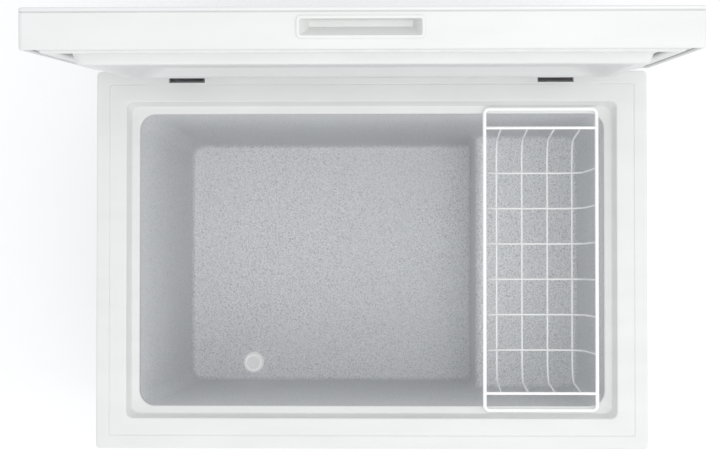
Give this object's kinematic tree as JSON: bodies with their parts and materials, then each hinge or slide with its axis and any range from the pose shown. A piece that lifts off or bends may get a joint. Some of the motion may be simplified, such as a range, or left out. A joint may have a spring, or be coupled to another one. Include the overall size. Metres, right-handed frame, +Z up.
{
  "type": "chest freezer",
  "caption": "White chest freezer with a hinged top lid, an embossed metal tub stepped over the compressor, and a wire basket that slides along the rim.",
  "frame": {"origin": "middle of the bounding box in plan, on the floor, with the lid standing open", "axes": "+Z up, +X to the right of a person standing at the front, +Y to the back, where the lid is hinged"},
  "size_m": [0.8, 0.612, 1.3723],
  "materials": {
    "white_steel": "gloss",
    "white_plastic": "satin",
    "stucco_aluminium": "satin",
    "zinc_steel": "satin",
    "dark_steel": "satin",
    "foam": "matte",
    "copper": "satin",
    "black_steel": "satin",
    "black_rubber": "matte",
    "gasket": "satin",
    "coated_wire": "satin",
    "grey_plastic": "matte",
    "black_plastic": "matte",
    "green_lens": "gloss",
    "red_lens": "gloss"
  },
  "bodies": {
    "cabinet": {"outer_wrap": "white_steel", "back_panel": "zinc_steel", "base_pan": "zinc_steel", "rim_collar": "white_plastic", "inner_liner": "stucco_aluminium", "cabinet_foam": "foam", "condenser_coil": "copper", "evaporator_coil": "copper", "side_vent_grille": "white_plastic", "rear_cover": "zinc_steel", "rear_cover_screw_1": "zinc_steel", "rear_cover_screw_2": "zinc_steel", "rear_cover_screw_3": "zinc_steel", "rear_cover_screw_4": "zinc_steel", "control_bezel": "grey_plastic", "thermostat_body": "black_plastic", "power_lens": "green_lens", "warning_lens": "red_lens", "cord_gland": "black_rubber", "drain_tube": "grey_plastic", "roller_bracket_left": "zinc_steel", "roller_bracket_right": "zinc_steel", "roller_axle_left": "zinc_steel", "roller_axle_right": "zinc_steel", "hinge_base_left": "dark_steel", "hinge_base_right": "dark_steel", "hinge_pin_left": "zinc_steel", "hinge_pin_right": "zinc_steel", "hinge_spring_left": "dark_steel", "hinge_spring_right": "dark_steel", "compressor_shell": "black_steel", "compressor_plate": "black_steel", "compressor_grommet_1": "black_rubber", "compressor_grommet_2": "black_rubber", "compressor_grommet_3": "black_rubber", "compressor_grommet_4": "black_rubber", "compressor_terminal_cover": "black_plastic", "filter_drier": "copper", "suction_tube": "copper", "discharge_tube": "copper", "capillary_tube": "copper"},
    "lid": {"lid_top_panel": "white_steel", "lid_frame": "white_plastic", "lid_handle": "white_plastic", "lid_foam": "foam", "lid_inner_panel": "white_plastic", "lid_gasket": "gasket", "hinge_leaf_left": "zinc_steel", "hinge_leaf_right": "zinc_steel"},
    "basket": {"wire_basket": "coated_wire"},
    "drain_plug": {"drain_plug": "white_plastic"},
    "drain_cap": {"drain_cap": "white_plastic"},
    "thermostat_knob": {"thermostat_knob": "white_plastic"},
    "roller_left": {"roller_left": "black_rubber"},
    "roller_right": {"roller_right": "black_rubber"},
    "levelling_foot_left": {"levelling_foot_left": "black_rubber"},
    "levelling_foot_right": {"levelling_foot_right": "black_rubber"}
  },
  "joints": [
    {"name": "lid_hinge", "type": "hinge", "parent": "cabinet", "child": "lid", "pos_m": [0, 0.26585, 0.812], "axis": [-1, 0, 0], "range_deg": [-86.4, 0], "stiffness_Nm_per_rad": 6},
    {"name": "basket_slide", "type": "slide", "parent": "cabinet", "child": "basket", "axis": [-1, 0, 0], "range_m": [0, 0.49]},
    {"name": "drain_plug_lift", "type": "slide", "parent": "cabinet", "child": "drain_plug", "axis": [0, 0, 1], "range_m": [0, 0.06]},
    {"name": "drain_cap_pull", "type": "slide", "parent": "cabinet", "child": "drain_cap", "axis": [0, -1, 0], "range_m": [0, 0.03]},
    {"name": "thermostat_turn", "type": "hinge", "parent": "cabinet", "child": "thermostat_knob", "pos_m": [0.34, -0.29815, 0.09], "axis": [0, 1, 0], "range_deg": [0, 270]},
    {"name": "roller_left_spin", "type": "hinge", "parent": "cabinet", "child": "roller_left", "pos_m": [-0.35, 0.19685, 0.012], "axis": [1, 0, 0], "continuous": true},
    {"name": "roller_right_spin", "type": "hinge", "parent": "cabinet", "child": "roller_right", "pos_m": [0.35, 0.19685, 0.012], "axis": [1, 0, 0], "continuous": true},
    {"name": "foot_left_turn", "type": "hinge", "parent": "cabinet", "child": "levelling_foot_left", "pos_m": [-0.35, -0.24315, 0.005], "axis": [0, 0, 1], "continuous": true},
    {"name": "foot_right_turn", "type": "hinge", "parent": "cabinet", "child": "levelling_foot_right", "pos_m": [0.35, -0.24315, 0.005], "axis": [0, 0, 1], "continuous": true}
  ]
}
